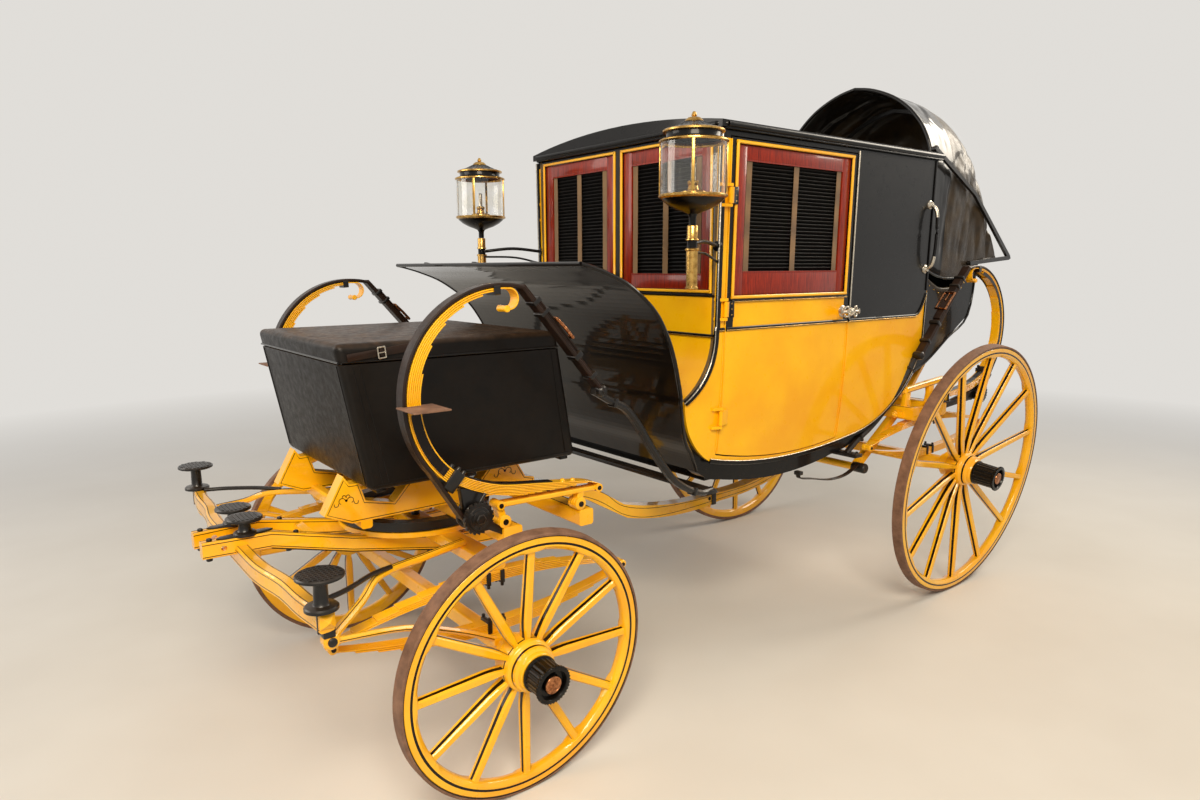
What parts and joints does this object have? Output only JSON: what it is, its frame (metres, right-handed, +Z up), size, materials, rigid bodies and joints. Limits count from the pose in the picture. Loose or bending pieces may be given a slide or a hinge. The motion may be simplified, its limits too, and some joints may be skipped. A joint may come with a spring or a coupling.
{
  "type": "horse-drawn travelling coach",
  "caption": "Horse-drawn travelling coach: cabin with hinged doors hung by leather braces from C-springs, front trunk, hooded rumble seat, steering fore-carriage and spoked wheels.",
  "frame": {"origin": "on the ground, midway along the coach's whole length and on its middle line", "axes": "+X forwards, +Y to the coach's left, +Z up"},
  "size_m": [4.361, 1.9566, 2.655],
  "materials": {
    "yellow_paint": "gloss yellow coach varnish with fine black lines",
    "black_lacquer": "gloss black coach varnish",
    "black_leather": "black leather, glazed",
    "brown_leather": "dark brown harness leather",
    "tyre_iron": "worn dusty iron",
    "black_iron": "painted forged iron",
    "mahogany": "varnished mahogany",
    "seat_cloth": "woven cloth",
    "brass": "polished brass and black",
    "glass": "clear"
  },
  "bodies": {
    "root": {"perch": "yellow_paint", "hind_axle": "yellow_paint", "hind_springs": "yellow_paint", "hind_bed": "yellow_paint", "fore_bed": "yellow_paint", "upper_ring": "black_iron", "front_c_springs": "yellow_paint", "rear_c_springs": "yellow_paint", "front_braces": "brown_leather", "rear_braces": "brown_leather", "brace_jacks": "black_iron", "body_irons": "black_iron", "body_sill": "black_lacquer", "body_floor": "black_lacquer", "body_sides": "yellow_paint", "body_front": "yellow_paint", "body_back": "black_lacquer", "body_roof": "black_lacquer", "front_sashes": "mahogany", "cabin_seat": "seat_cloth", "dash": "black_leather", "lamps": "brass", "lamp_glasses": "glass", "trunk": "black_leather", "rumble": "black_lacquer", "rumble_cushion": "black_leather", "rumble_stays": "yellow_paint", "hood": "black_leather", "hood_irons": "black_iron"},
    "fore_carriage": {"fore_axle": "yellow_paint", "fore_springs": "yellow_paint", "turntable": "yellow_paint", "futchells": "yellow_paint", "splinter_bar": "yellow_paint", "fore_stays": "yellow_paint"},
    "door_left": {"door_left": "yellow_paint", "door_sash_left": "mahogany"},
    "door_right": {"door_right": "yellow_paint", "door_sash_right": "mahogany"},
    "trunk_lid": {"trunk_lid": "black_leather"},
    "wheel_front_left": {"wheel_front_left": "yellow_paint", "tyre_front_left": "tyre_iron", "hub_front_left": "black_lacquer"},
    "wheel_front_right": {"wheel_front_right": "yellow_paint", "tyre_front_right": "tyre_iron", "hub_front_right": "black_lacquer"},
    "wheel_rear_left": {"wheel_rear_left": "yellow_paint", "tyre_rear_left": "tyre_iron", "hub_rear_left": "black_lacquer"},
    "wheel_rear_right": {"wheel_rear_right": "yellow_paint", "tyre_rear_right": "tyre_iron", "hub_rear_right": "black_lacquer"}
  },
  "joints": [
    {"name": "fore_steer", "type": "hinge", "parent": "root", "child": "fore_carriage", "pos_m": [1.4105, 0, 0.74], "axis": [0, 0, 1], "range_deg": [-25, 25]},
    {"name": "front_wheel_left", "type": "hinge", "parent": "fore_carriage", "child": "wheel_front_left", "pos_m": [1.4105, 0.81223, 0.44003], "axis": [0, 0.9978, -0.0663], "continuous": true},
    {"name": "front_wheel_right", "type": "hinge", "parent": "fore_carriage", "child": "wheel_front_right", "pos_m": [1.4105, -0.81223, 0.44003], "axis": [0, -0.9978, -0.0663], "continuous": true},
    {"name": "rear_wheel_left", "type": "hinge", "parent": "root", "child": "wheel_rear_left", "pos_m": [-1.2555, 0.85084, 0.64545], "axis": [0, 0.9945, -0.1045], "continuous": true},
    {"name": "rear_wheel_right", "type": "hinge", "parent": "root", "child": "wheel_rear_right", "pos_m": [-1.2555, -0.85084, 0.64545], "axis": [0, -0.9945, -0.1045], "continuous": true},
    {"name": "door_left_open", "type": "hinge", "parent": "root", "child": "door_left", "pos_m": [0.3565, 0.603, 1.08], "axis": [0, -0.0322, -0.9995], "range_deg": [0, 85]},
    {"name": "door_right_open", "type": "hinge", "parent": "root", "child": "door_right", "pos_m": [0.3565, -0.603, 1.08], "axis": [0, -0.0322, 0.9995], "range_deg": [0, 85]},
    {"name": "trunk_lid_open", "type": "hinge", "parent": "root", "child": "trunk_lid", "pos_m": [0.9965, 0, 1.391], "axis": [0, -1, 0], "range_deg": [0, 50]}
  ]
}
